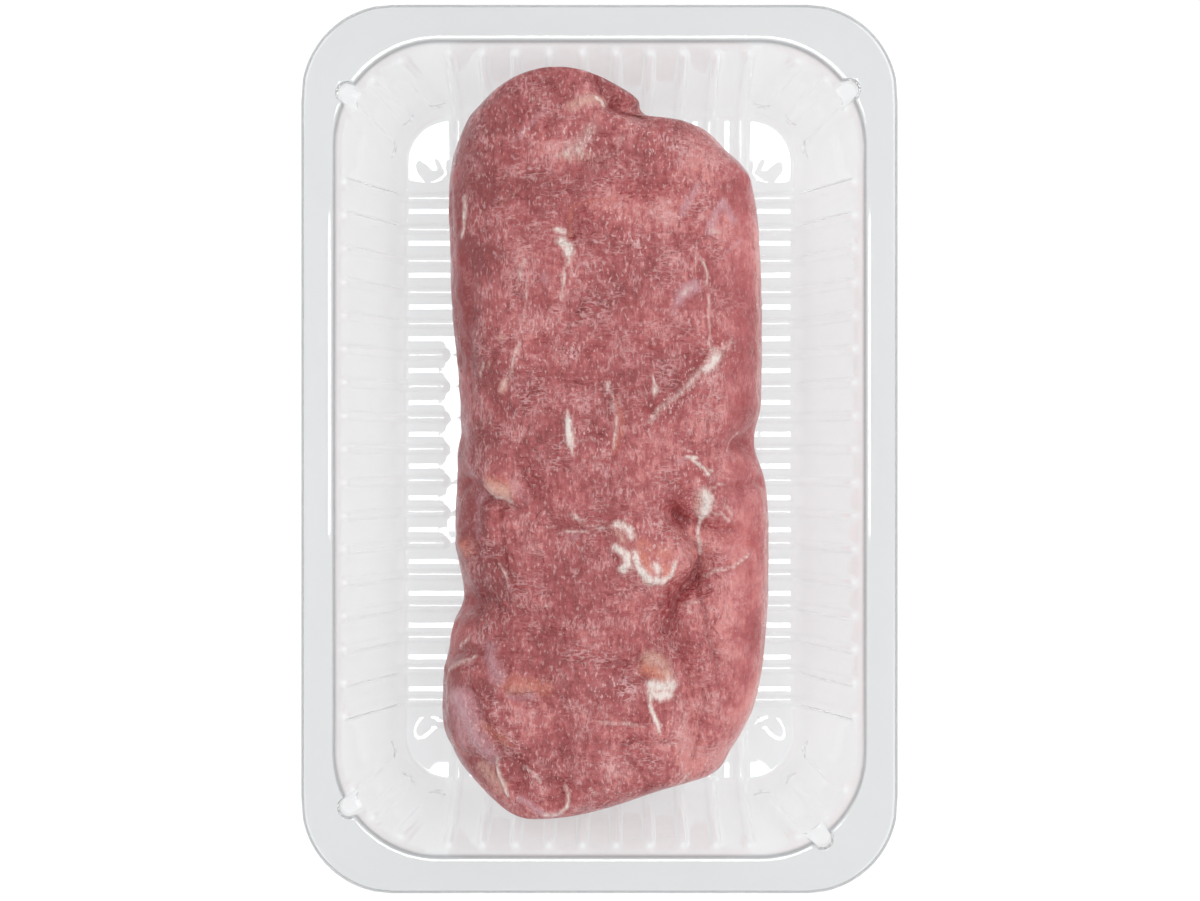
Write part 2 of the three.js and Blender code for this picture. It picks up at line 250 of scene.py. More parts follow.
def trayRows():
    lip, mouth, top = tray["lip"], tray["mouth"], tray["height"]
    # each row's last number is its sheet tone: 0.5 for the thicker rim, towards 1 for a painted dark line at
    # a tight bend
    rim = [(0, 46, 1), (0.1, 47.6, 1), (0.4, 48.9, 0.9), (0.9, 49.65, 0.5), (1.6, 49.95, 0.5)]
    rim.append((2.6, top, 0.5))
    rows = [trayRow(insetHalf(lip, d), z, thickAndEdgeShade=thickAndEdgeShade) for d, z, thickAndEdgeShade in rim]
    rows.append(trayRow(betweenHalf(insetHalf(lip, 1.5), mouth, 0.5), top, thickAndEdgeShade=0.5))
    bend = [(1.9, top, 0.75, 0.5), (0.9, 49.95, 0.4, 0.5), (0.35, 49.75, 0.2, 0.7), (0.08, 49.4, 0.08, 1)]
    bend += [(0, 48.9, 0, 1), (-0.8, 47.1, 0, 0.1)]
    for out, z, extra, thickAndEdgeShade in bend:
        rows.append(trayRow(insetHalf(mouth, -out), z, pocket=extra, thickAndEdgeShade=thickAndEdgeShade))
    wallTop, wallFoot = tray["wallTop"], tray["wallFoot"]
    start, foot = tray["ribStart"], tray["cornerRibFoot"]
    floor = tray["pocketFloor"]
    heights = [45.5, 45, 44.6, 44.2, 43.7, floor + 0.05, floor - 0.05, 42.4, start, 38, 32, 26, 20, 14, 11]
    heights += [foot, foot - 0.6, foot - 1, foot - 1.4, foot - 1.8, foot - 2.2, foot - 2.7, wallFoot[3]]
    for z in heights:
        share = (wallTop[3] - z) / (wallTop[3] - wallFoot[3])
        past = max(0, z - start) * tray["ribEase"]
        cornerPast = max(past, foot - z)
        rows.append(trayRow(betweenHalf(wallTop, wallFoot, share), z, past, cornerPast,
                            pocket=0 if z > floor else None))
    slope = (wallTop[0] - wallFoot[0]) / (wallTop[3] - wallFoot[3])
    drop = wallFoot[3] - tray["sheet"]
    for t in (0.2, 0.4, 0.6, 0.8, 1):
        inward = 2 * t * (1 - t) * drop * slope + t * t * tray["floorRun"]
        z = wallFoot[3] - drop * (1 - (1 - t) ** 2)
        rows.append(trayRow(insetHalf(wallFoot, inward), z, 0, spread=t))
    for back in (-1.2, 0, 0.45, 0.85, 1.2, 1.55, 1.95, 2.6):
        half = (tray["floorCorner"] - back, tray["endReach"] - back, max(0.3, 2.3 - back))
        rows.append(trayRow(half, tray["sheet"], max(0, back), spread=1, back=back))
    return rows


def slopeOut(rows):   # out and up parts of the surface's normal at each row, towards the inside
    parts = []
    for a, b in zip(rows, rows[1:]):
        run, rise = b["half"][0] - a["half"][0], b["z"] - a["z"]
        size = max(math.hypot(run, rise), 1e-6)
        parts.append((rise / size, -run / size))
    for i, row in enumerate(rows):
        first, second = parts[max(i - 1, 0)], parts[min(i, len(parts) - 1)]
        out, up = first[0] + second[0], first[1] + second[1]
        size = math.hypot(out, up)
        row["out"], row["up"] = out / size, up / size


def pushToPocket(x, y, normal, radius):   # moves the points of a row out to the rim of a pocket
    for px, py in tray["pockets"]:
        dx, dy = x - px, y - py
        along = dx * normal[:, 0] + dy * normal[:, 1]
        inside = along ** 2 - (dx ** 2 + dy ** 2 - radius ** 2)
        far = -along + np.sqrt(np.maximum(inside, 0))
        push = np.where((inside > 0) & (far > 0) & (far < 12), far, 0)
        x = x + normal[:, 0] * push
        y = y + normal[:, 1] * push
    return x, y


def rowPoints(row):   # the whole closed row, counter-clockwise from above
    x, y, normal, lift = quarterRow(row["half"], row)
    order = [(1, 1, 1), (-1, 1, -1), (-1, -1, 1), (1, -1, -1)]
    xs = np.concatenate([(x * sx)[::way] for sx, sy, way in order])
    ys = np.concatenate([(y * sy)[::way] for sx, sy, way in order])
    ns = np.concatenate([(normal * (sx, sy))[::way] for sx, sy, way in order])
    lifts = np.concatenate([lift[::way] for sx, sy, way in order])
    if row["pocket"] is not None:
        xs, ys = pushToPocket(xs, ys, ns, tray["pocketRadius"] + row["pocket"])
    for dx, dy in tray["domes"]:
        away = np.hypot(xs - dx, ys - dy) / tray["domeRadius"]
        dome = np.maximum(0, np.exp(-away ** 2) - tray["domeCut"]) / (1 - tray["domeCut"])
        lifts = lifts + tray["domeRise"] * dome * (row["z"] < tray["domeHeight"])
    xs = xs + ns[:, 0] * row["out"] * lifts
    ys = ys + ns[:, 1] * row["out"] * lifts
    return np.stack([xs, ys, row["z"] + row["up"] * lifts], axis=1)


def makeTray():
    rows = trayRows()
    slopeOut(rows)
    points = rowPoints(rows[0])
    form = bmesh.new()
    layer = form.verts.layers.float.new("thickAndEdgeShade")
    ring = bmesh.ops.create_circle(form, segments=len(points), radius=1)["verts"]
    edges = list(form.edges)
    ring = sorted(ring, key=lambda v: math.atan2(v.co.y, v.co.x) % (2 * math.pi))
    for vert, place in zip(ring, points):
        vert.co = place
        vert[layer] = rows[0]["thickAndEdgeShade"]
    for row in rows[1:]:
        result = bmesh.ops.extrude_edge_only(form, edges=edges)
        edges = [part for part in result["geom"] if isinstance(part, bmesh.types.BMEdge)]
        newVerts = [part for part in result["geom"] if isinstance(part, bmesh.types.BMVert)]
        points = rowPoints(row)
        ring = nextRing(ring, newVerts)
        for vert, place in zip(ring, points):
            vert.co = place
            vert[layer] = row["thickAndEdgeShade"]
    result = bmesh.ops.extrude_edge_only(form, edges=edges)
    newVerts = [part for part in result["geom"] if isinstance(part, bmesh.types.BMVert)]
    ring = nextRing(ring, newVerts)
    for vert in ring:   # the last row closes on the tray's middle line
        vert.co.x = 0
        vert.co.y = max(-tray["floorMiddle"], min(tray["floorMiddle"], vert.co.y))
        vert.co.z = tray["sheet"]
    bmesh.ops.remove_doubles(form, verts=form.verts, dist=0.004)
    bmesh.ops.recalc_face_normals(form, faces=form.faces)
    middle = max(form.faces, key=lambda face: -abs(face.calc_center_median().z - tray["sheet"]))
    if middle.normal.z < 0:
        bmesh.ops.reverse_faces(form, faces=form.faces)
    piece = newPiece("trayShell", form)
    wall = piece.modifiers.new("sheet", "SOLIDIFY")
    wall.thickness = tray["sheet"] * metres
    wall.offset = -1
    return piece


def nextRing(ring, newVerts):   # new vertices in the order of the ring that they were drawn from
    fresh = set(newVerts)
    follow = []
    for vert in ring:
        for edge in vert.link_edges:
            other = edge.other_vert(vert)
            if other in fresh:
                follow.append(other)
                break
    return follow


# Meat: places are millimetres from the tray's middle; the speckle patches of painted wet glints are (half
# width, strength, line)
meat = {
    "topEnd": (-12.9, 115.3, 39.5),
    "bottomEnd": (-20, -112, 37),
    "underside": 2.4,
    "top": 42.3,
    "widest": 0.45,
    "undercut": (92, 2.5),
    "shoulder": 95,
    "squareTop": 2.5,
    "squareUnder": 3.2,
    "around": 340,
    "lengthwise": 278,
    "topShare": 0.62,
    "foldDepth": 1.6,      # how much deeper and narrower the folds are made than they were read
    "foldWidth": 0.8,
    "creaseShadeFrom": -0.7,    # folds deeper than this get painted shade along their middle
    "creaseShadeWidth": 0.35,
    "creaseShadeStrength": 0.45,
    "relief": (("fat", 0.35), ("cream", 0.3), ("lilac", 0.15)),
    "left": [   # the outline's left and right edge, as (place along the meat, place across)
        (111.4, -29.2), (107.5, -35), (99.7, -41.6), (83.8, -46.5), (45, -45.7), (6.2, -42.6),
        (-2.5, -44), (-28.4, -44.5), (-45.7, -42), (-54.4, -45.4), (-80.3, -48.8), (-92.4, -45.6),
        (-104.2, -36.1), (-108.1, -31.1),
    ],
    "right": [
        (111.4, 4.2), (107.5, 11.5), (103, 14.6), (99.7, 29.8), (91.8, 39.8), (83.8, 46.5),
        (62.4, 49.7), (14.8, 50.1), (1.9, 47.9), (-11, 51.6), (-37, 52.5), (-63, 51),
        (-80.3, 47.6), (-92.4, 41), (-100.3, 34.7), (-104.2, 20.3), (-108.1, 6.9),
    ],
    # painted highlights: patches where pale specks and stronger pale lines stand in for wet glints
    "glintPatches": [
        (5, 0.8, [(-8, 95), (-4, 92)]),
        (3, 0.6, [(-18, 92), (-15, 91)]),
        (3, 0.5, [(-25, 94), (-18, 100)]),
        (5, 0.6, [(6, 68), (12, 60)]),
        (3.5, 0.7, [(-6, 4), (0, 1)]),
        (5, 0.6, [(-2, -70), (8, -73)]),
        (3, 0.6, [(-20, -21), (-17, -22)]),
        (3.5, 0.6, [(-22, -96), (-19, -99)]),
        (3, 0.6, [(-8, 53), (2, 50)]),
        (3, 0.7, [(-13, 30), (-2, 29)]),
        (4, 0.9, [(39, 31), (30, 22), (22, 15), (15, 9)]),
        (4, 0.6, [(-27, 36), (-14, 37)]),
        (4, 0.6, [(-26, 25), (-17, 25)]),
        (4, 0.5, [(26, -2), (33, -12)]),
        (6, 0.5, [(8, 100), (22, 88)]),
        (5, 0.4, [(16, 84), (24, 79)]),
        (7, 0.35, [(-34, -80), (-20, -100)]),
        (5, 0.4, [(20, -84), (24, -92)]),
        (7, 0.4, [(14, -24), (20, -34)]),
    ],
    "swells": [   # rise, half width, line: the broad forms that the solid has too
        (-3.5, 5, [(14.6, 102.5), (3, 110)]),
        (-1.8, 7, [(27, 86), (-8, 74)]),
        (-1.2, 12, [(-22, 95), (-34, 60)]),
        (1, 7, [(42, 31), (16, 8)]),
        (-1.8, 8, [(48, 1), (24, -21)]),
        (-2.2, 7, [(24, -21), (33, -34)]),
        (-1.8, 7, [(33, -34), (18, -53)]),
        (-1.8, 8, [(29, -70), (32, -98)]),
        (-1.6, 8, [(-42, -47), (-20, -60)]),
        (1.4, 13, [(16, -32), (4, -36)]),
        (1.2, 13, [(-38, -72), (-30, -90)]),
        (0.6, 24, [(-5, 60), (0, -10)]),
    ],
}

photoMiddle = (600, 449)   # the pixel of the photo that is over the tray's middle
photoScale = 0.3003        # millimetres a pixel at the height of the meat's top

# Read in the photo: marks are (half width, strength, line), folds (rise, half width, line),
# with widths and rises in millimetres and lines in pixels
photoMarks = {
    "fat": [
        (1, 0.9, [(597, 96), (603, 100), (606, 107)]),
        (3.4, 0.5, [(572, 150), (584, 140), (592, 128)]),
        (2.2, 0.75, [(568, 152), (580, 150)]),
        (0.9, 0.5, [(601, 159), (615, 152), (622, 137)]),
        (0.7, 0.5, [(656, 126), (641, 140)]),
        (0.9, 0.75, [(462, 193), (459, 212), (457, 234)]),
        (0.9, 0.75, [(525, 258), (522, 270), (520, 279)]),
        (0.5, 0.6, [(527, 282), (525, 300), (523, 319)]),
        (0.5, 0.4, [(511, 289), (525, 285)]),
        (0.7, 0.75, [(519, 339), (513, 365), (504, 388)]),
        (0.8, 0.7, [(482, 362), (480, 374)]),
        (0.7, 0.6, [(473, 384), (469, 392)]),
        (1.3, 0.9, [(557, 229), (564, 231)]),
        (2.3, 1, [(563, 241), (568, 246), (570, 254)]),
        (0.7, 0.85, [(571, 258), (564, 269), (563, 298)]),
        (1.1, 0.7, [(713, 229), (721, 231)]),
        (0.6, 0.55, [(700, 239), (698, 255), (696, 267)]),
        (0.8, 0.7, [(703, 256), (707, 266), (709, 275), (710, 282)]),
        (1.5, 0.55, [(683, 294), (693, 288)]),
        (0.7, 0.6, [(710, 294), (710, 319), (711, 348)]),
        (1.5, 0.55, [(731, 341), (724, 348), (714, 358)]),
        (2.2, 0.95, [(716, 352), (713, 362), (707, 370)]),
        (1.7, 0.6, [(714, 366), (699, 374), (680, 391), (664, 407), (650, 421)]),
        (0.7, 0.85, [(654, 372), (655, 384), (655, 397)]),
        (1.2, 0.9, [(655, 388), (655, 392)]),
        (0.6, 0.55, [(639, 392), (645, 394), (647, 401)]),
        (1.1, 0.8, [(606, 382), (609, 390), (613, 400)]),
        (0.8, 0.7, [(613, 400), (617, 419), (616, 438), (609, 457)]),
        (1.9, 1, [(570, 420), (570, 432), (571, 444)]),
        (0.9, 0.8, [(569, 411), (570, 430), (572, 453)]),
        (0.5, 0.5, [(532, 427), (532, 438)]),
        (0.8, 0.55, [(578, 442), (590, 438), (601, 444)]),
        (0.6, 0.6, [(610, 459), (596, 458), (583, 460)]),
        (0.8, 0.9, [(482, 489), (493, 497), (504, 500), (510, 504)]),
        (1.5, 0.7, [(573, 516), (581, 520)]),
        (0.7, 0.75, [(564, 531), (575, 533), (592, 530), (610, 527)]),
        (0.5, 0.55, [(591, 507), (610, 505)]),
        (0.6, 0.45, [(513, 457), (513, 480)]),
        (0.8, 0.9, [(689, 456), (699, 456), (695, 459), (706, 467), (709, 475), (714, 471)]),
        (2.7, 1, [(706, 492), (709, 502), (704, 512)]),
        (1.5, 0.95, [(713, 496), (710, 510), (703, 520)]),
        (0.9, 0.9, [(703, 520), (704, 536), (707, 556)]),
        (0.7, 0.75, [(717, 513), (725, 513), (733, 524)]),
        (2, 0.9, [(618, 525), (627, 529), (631, 537)]),
        (1.6, 0.95, [(614, 548), (622, 552), (628, 558)]),
        (1.9, 1, [(627, 556), (630, 564), (624, 571)]),
        (1.7, 1, [(636, 553), (637, 563), (641, 573)]),
        (1.8, 1, [(641, 573), (650, 581), (663, 583)]),
        (1.2, 0.9, [(663, 583), (672, 577), (676, 563)]),
        (1.9, 0.95, [(654, 566), (657, 572)]),
        (0.7, 0.75, [(712, 578), (727, 570), (741, 563), (750, 555)]),
        (0.7, 0.7, [(733, 450), (738, 441), (745, 434)]),
        (0.6, 0.6, [(727, 502), (731, 510), (735, 518)]),
        (0.6, 0.6, [(715, 488), (726, 484), (737, 481)]),
        (1, 0.65, [(690, 612), (693, 614)]),
        (0.8, 0.7, [(685, 607), (694, 605), (702, 603)]),
        (2.6, 1, [(652, 686), (663, 688), (673, 684)]),
        (2, 0.95, [(650, 692), (660, 697), (671, 694)]),
        (0.9, 0.95, [(649, 692), (651, 706), (655, 719), (660, 731)]),
        (1, 0.5, [(680, 695), (685, 711), (686, 728)]),
        (0.8, 0.6, [(600, 722), (622, 725), (646, 728)]),
        (0.8, 0.6, [(680, 790), (690, 783), (699, 775)]),
        (0.6, 0.6, [(498, 565), (504, 576), (509, 590)]),
        (0.8, 0.6, [(454, 652), (459, 645), (465, 638)]),
        (1, 0.65, [(449, 675), (460, 668), (474, 659)]),
        (0.9, 0.85, [(498, 760), (500, 778), (509, 798)]),
        (1, 0.6, [(525, 768), (533, 774), (539, 782)]),
        (1.2, 0.7, [(545, 816), (557, 815), (569, 808)]),
        (1, 0.7, [(569, 808), (568, 795), (566, 788)]),
        (0.8, 0.6, [(591, 788), (595, 792), (598, 795)]),
        (0.8, 0.55, [(610, 760), (614, 769), (616, 779)]),
        (1, 0.5, [(517, 606), (520, 607)]),
        (1, 0.5, [(546, 606), (549, 607)]),
    ],
    "cream": [
        (2.6, 0.8, [(573, 104), (590, 99), (606, 100)]),
        (2, 0.6, [(560, 154), (574, 157), (590, 154)]),
        (0.9, 0.5, [(497, 204), (508, 194), (519, 187)]),
        (1.4, 0.7, [(497, 337), (502, 336)]),
        (1.7, 0.9, [(505, 382), (503, 390)]),
        (1.1, 0.6, [(489, 361), (488, 366)]),
        (3.2, 0.9, [(489, 488), (498, 490), (506, 496)]),
        (2.2, 0.6, [(700, 493), (699, 505)]),
        (1.8, 0.75, [(617, 532), (622, 542)]),
        (3.4, 0.8, [(650, 658), (662, 664), (668, 674)]),
        (2.8, 0.5, [(512, 690), (528, 692)]),
        (3.4, 0.7, [(483, 772), (491, 780), (500, 788)]),
        (1.2, 0.5, [(763, 199), (766, 316), (765, 422)]),
        (1.2, 0.5, [(771, 489), (773, 589), (765, 689), (748, 735)]),
    ],
    "orange": [
        (1.1, 0.55, [(578, 204), (596, 200), (612, 198)]),
        (1.3, 0.6, [(574, 205), (571, 221), (571, 234)]),
        (1.7, 0.6, [(616, 396), (621, 412), (621, 432), (614, 452)]),
        (2.8, 0.7, [(489, 480), (500, 484), (508, 490)]),
        (3, 0.6, [(462, 545), (466, 552)]),
        (2.6, 0.85, [(642, 553), (644, 560), (647, 567)]),
        (2.2, 0.7, [(664, 568), (667, 574)]),
        (3.2, 0.55, [(640, 545), (655, 550), (668, 554)]),
        (3.2, 0.85, [(646, 668), (657, 674), (664, 680)]),
        (3.6, 0.7, [(508, 684), (525, 685), (545, 688)]),
        (2.8, 0.65, [(480, 727), (493, 732), (506, 741)]),
    ],
    "lilac": [
        (1.6, 0.5, [(513, 140), (527, 123), (545, 107)]),
        (1, 0.45, [(679, 123), (675, 136), (670, 151)]),
        (1, 0.4, [(690, 143), (670, 168)]),
        (1.3, 0.35, [(449, 190), (447, 260), (449, 340)]),
        (2.2, 0.6, [(543, 274), (546, 281)]),
        (1.8, 0.75, [(685, 212), (692, 197), (701, 185)]),
        (2, 0.8, [(711, 231), (717, 212), (725, 200), (737, 216)]),
        (0.9, 0.7, [(731, 251), (747, 236)]),
        (3, 0.95, [(680, 298), (688, 290), (697, 285)]),
        (1.6, 0.7, [(676, 304), (672, 312)]),
        (0.9, 0.55, [(708, 397), (710, 411)]),
        (0.8, 0.5, [(718, 401), (721, 395)]),
        (0.8, 0.5, [(730, 323), (731, 342)]),
        (1.5, 0.55, [(457, 390), (459, 419), (463, 447), (465, 475), (478, 489)]),
        (1.6, 0.6, [(478, 489), (469, 505), (473, 539)]),
        (2.4, 0.5, [(512, 486), (520, 494), (527, 500)]),
        (1.5, 0.6, [(570, 537), (577, 538)]),
        (1.9, 0.7, [(680, 462), (688, 459)]),
        (2.6, 0.4, [(594, 688), (610, 684), (628, 678)]),
        (3.2, 0.8, [(487, 650), (492, 665), (499, 680)]),
        (1.8, 0.7, [(510, 698), (522, 700), (534, 696)]),
        (4.6, 0.95, [(461, 700), (468, 718), (476, 738)]),
        (3.6, 0.85, [(476, 738), (484, 750), (492, 759)]),
        (2.5, 0.65, [(452, 700), (456, 722), (463, 745)]),
        (1.8, 0.8, [(520, 799), (532, 809), (545, 816), (560, 814)]),
    ],
    # painted shade: darker red laid along the deep folds, where shade falls in them
    "foldShade": [
        (4, 0.5, [(463, 655), (474, 654), (484, 654)]),
        (2.2, 0.6, [(496, 689), (497, 694)]),
        (3, 0.5, [(510, 759), (520, 760)]),
        (5, 0.3, [(549, 350), (580, 346), (612, 340)]),
        (2.2, 0.5, [(486, 501), (495, 505), (506, 506)]),
        (6, 0.35, [(620, 188), (648, 189), (667, 183), (685, 177)]),
        (6, 0.35, [(520, 470), (535, 495), (552, 518), (572, 530)]),
    ],
    "red": [
        (9, 0.4, [(743, 535), (755, 540)]),
        (8, 0.3, [(640, 340), (690, 340)]),
    ],
    "folds": [
        (-1.5, 1.6, [(572, 93), (562, 101), (553, 116), (546, 133)]),
        (0.7, 1.2, [(543, 126), (553, 112), (567, 99)]),
        (-3.2, 3.6, [(650, 112), (637, 112), (625, 107)]),
        (-1.6, 2.4, [(625, 107), (611, 97), (600, 75)]),
        (0.9, 1.6, [(601, 159), (615, 152), (622, 137)]),
        (-1.4, 6, [(601, 158), (582, 180), (572, 204), (570, 234)]),
        (0.5, 1.2, [(656, 126), (641, 140)]),
        (0.6, 1.6, [(679, 123), (675, 136), (670, 151)]),
        (0.6, 1.6, [(690, 143), (670, 168)]),
        (-1.2, 2.6, [(685, 177), (667, 182), (648, 189), (620, 188)]),
        (1.1, 3.5, [(738, 160), (750, 173)]),
        (-0.5, 1, [(497, 204), (508, 194), (519, 187)]),
        (0.6, 1.5, [(519, 338), (536, 334), (557, 328)]),
        (0.5, 1.3, [(515, 366), (543, 366)]),
        (0.5, 1.4, [(583, 227), (605, 223)]),
        (0.6, 1.6, [(578, 241), (618, 235)]),
        (0.4, 1.2, [(570, 272), (604, 272)]),
        (0.4, 1.2, [(579, 282), (597, 285)]),
        (-0.8, 3, [(549, 350), (580, 346), (612, 340)]),
        (0.7, 1.6, [(560, 354), (589, 354)]),
        (0.9, 2.2, [(731, 341), (712, 357), (699, 374), (680, 391), (664, 407), (650, 421)]),
        (-0.6, 1.5, [(639, 404), (647, 401), (660, 418)]),
        (-0.5, 1.2, [(606, 382), (610, 399), (617, 419), (616, 438), (609, 457)]),
        (0.5, 2, [(570, 413), (570, 445)]),
        (0.5, 1.4, [(516, 407), (525, 407)]),
        (0.5, 1.4, [(541, 408), (569, 407)]),
        (-0.8, 1.2, [(610, 459), (596, 458), (583, 460)]),
        (0.8, 2.4, [(482, 484), (493, 491), (508, 498)]),
        (-1.6, 1.8, [(480, 494), (490, 502), (504, 504), (513, 509)]),
        (-2, 3.4, [(455, 482), (464, 488), (474, 486)]),
        (-1.4, 2.6, [(478, 498), (469, 507), (472, 528)]),
        (-1.5, 6, [(520, 470), (532, 493), (550, 516), (564, 530), (583, 528)]),
        (0.6, 2.2, [(571, 513), (583, 523)]),
        (0.5, 1.1, [(564, 531), (575, 533), (610, 527)]),
        (1.2, 4, [(460, 543), (466, 552)]),
        (-1.5, 1.7, [(466, 539), (475, 548), (474, 561)]),
        (0.8, 1.5, [(689, 456), (699, 456), (706, 467), (709, 475), (714, 471)]),
        (-1.4, 2.4, [(678, 513), (692, 522), (702, 528)]),
        (-1.3, 2.6, [(707, 529), (726, 532), (743, 532)]),
        (-2, 3.2, [(680, 516), (689, 533), (705, 552), (707, 562), (701, 575), (687, 589)]),
        (1.3, 4.5, [(669, 528), (682, 548), (694, 570)]),
        (0.9, 3, [(616, 526), (630, 534)]),
        (0.8, 3.2, [(613, 550), (629, 560), (623, 571)]),
        (0.8, 2.2, [(637, 556), (640, 571), (649, 581), (664, 583), (675, 573)]),
        (-1, 1.8, [(608, 540), (612, 560), (622, 580), (640, 590)]),
        (0.8, 1.5, [(712, 578), (727, 570), (741, 563), (750, 555)]),
        (-2.4, 3.6, [(762, 441), (755, 444), (748, 447)]),
        (-1.4, 2.4, [(749, 490), (758, 487), (767, 481)]),
        (1, 2.4, [(703, 488), (708, 500), (704, 514)]),
        (-2.2, 3, [(709, 570), (699, 581), (680, 600), (671, 618), (668, 630)]),
        (-1.6, 2.6, [(707, 581), (703, 600), (710, 616), (712, 639), (715, 650), (724, 668)]),
        (-1.2, 2, [(671, 643), (680, 653), (686, 664), (694, 679), (698, 696)]),
        (-1.2, 2.4, [(709, 692), (711, 708), (709, 725), (703, 763)]),
        (1.3, 5, [(686, 622), (696, 640), (704, 655)]),
        (0.6, 1.6, [(685, 607), (702, 603)]),
        (1.2, 4, [(648, 662), (662, 682), (656, 698)]),
        (-1.3, 2.2, [(607, 668), (620, 665), (632, 662), (646, 655)]),
        (-0.9, 1.8, [(600, 722), (622, 725), (646, 728)]),
        (-1.5, 2.2, [(623, 747), (634, 742), (649, 747), (669, 744)]),
        (-1.5, 3.2, [(630, 758), (644, 775), (652, 789)]),
        (-2, 3, [(450, 605), (458, 605), (468, 607)]),
        (0.5, 1, [(498, 565), (509, 590)]),
        (-1.4, 2.4, [(448, 657), (463, 655), (483, 655)]),
        (0.7, 1.6, [(449, 675), (474, 659)]),
        (-0.8, 1.8, [(504, 668), (506, 690), (520, 705), (540, 706)]),
        (0.9, 3, [(508, 686), (548, 688)]),
        (1, 4, [(462, 700), (477, 738)]),
        (-1.1, 1.8, [(470, 692), (482, 714), (490, 735), (504, 752)]),
        (-1.4, 2, [(466, 762), (480, 766), (495, 762)]),
        (0.8, 1.4, [(498, 760), (500, 778), (509, 798)]),
        (-1.2, 2.4, [(509, 759), (520, 764), (523, 784)]),
        (0.8, 2, [(520, 799), (543, 818), (570, 810)]),
        (-1, 1.8, [(516, 792), (535, 806), (560, 800), (566, 786)]),
        (-0.9, 2, [(497, 505), (500, 540), (505, 580)]),
        (-0.8, 2.2, [(476, 600), (500, 612), (540, 616)]),
        (-0.7, 2.2, [(540, 640), (580, 632), (610, 640)]),
        (-0.8, 3, [(465, 260), (462, 330), (466, 400)]),
    ],
}


def onMeat(place):
    across, down = place
    x, y = (across - photoMiddle[0]) * photoScale, (photoMiddle[1] - down) * photoScale
    return round(x, 1), round(y, 1)


for name, lines in photoMarks.items():
    meat[name] = [(first, second, [onMeat(place) for place in line]) for first, second, line in lines]


def smoothCurve(knots, at):   # a smooth curve through (place, value), places falling
    places, values = np.array(knots).T
    i = np.clip(np.searchsorted(-places, -at, side="right") - 1, 0, len(places) - 2)
    before, after = np.maximum(i - 1, 0), np.minimum(i + 2, len(places) - 1)
    span = places[i + 1] - places[i]
    slopeIn = (values[i + 1] - values[before]) / (places[i + 1] - places[before]) * span
    slopeOutwards = (values[after] - values[i]) / (places[after] - places[i]) * span
    t = np.clip((at - places[i]) / span, 0, 1)
    bend = t * t * (3 - 2 * t)
    curve = values[i] + (values[i + 1] - values[i]) * bend
    return curve + slopeIn * t * (1 - t) ** 2 - slopeOutwards * t * t * (1 - t)


def edgeCurve(side, angle):
    topX, topY, _ = meat["topEnd"]
    bottomX, bottomY, _ = meat["bottomEnd"]
    middle, half = (topY + bottomY) / 2, (topY - bottomY) / 2
    knots = [(math.pi / 2, topX)]
    knots += [(math.asin((y - middle) / half), x) for y, x in meat[side]]
    knots.append((-math.pi / 2, bottomX))
    return smoothCurve(knots, angle)


def meatHeights(y):
    endZ = np.where(y > 0, meat["topEnd"][2], meat["bottomEnd"][2])
    endY = np.where(y > 0, meat["topEnd"][1], -meat["bottomEnd"][1])
    start, power = meat["undercut"]
    undercut = np.clip((np.abs(y) - start) / (endY - start), 0, 1)
    shoulder = np.clip((np.abs(y) - meat["shoulder"]) / (endY - meat["shoulder"]), 0, 1)
    under = meat["underside"] + (endZ - meat["underside"]) * undercut ** power
    top = endZ + (meat["top"] - endZ) * np.sqrt(1 - shoulder ** 2)
    return under, top, under + (top - under) * meat["widest"]


def liftedBy(lines, plane, power):
    rise = np.zeros(len(plane))
    for height, width, path in lines:
        away = np.minimum(pathDistance(plane, path, width * 3), width * 3)
        rise += height * np.exp(-(away / width) ** power)
    return rise


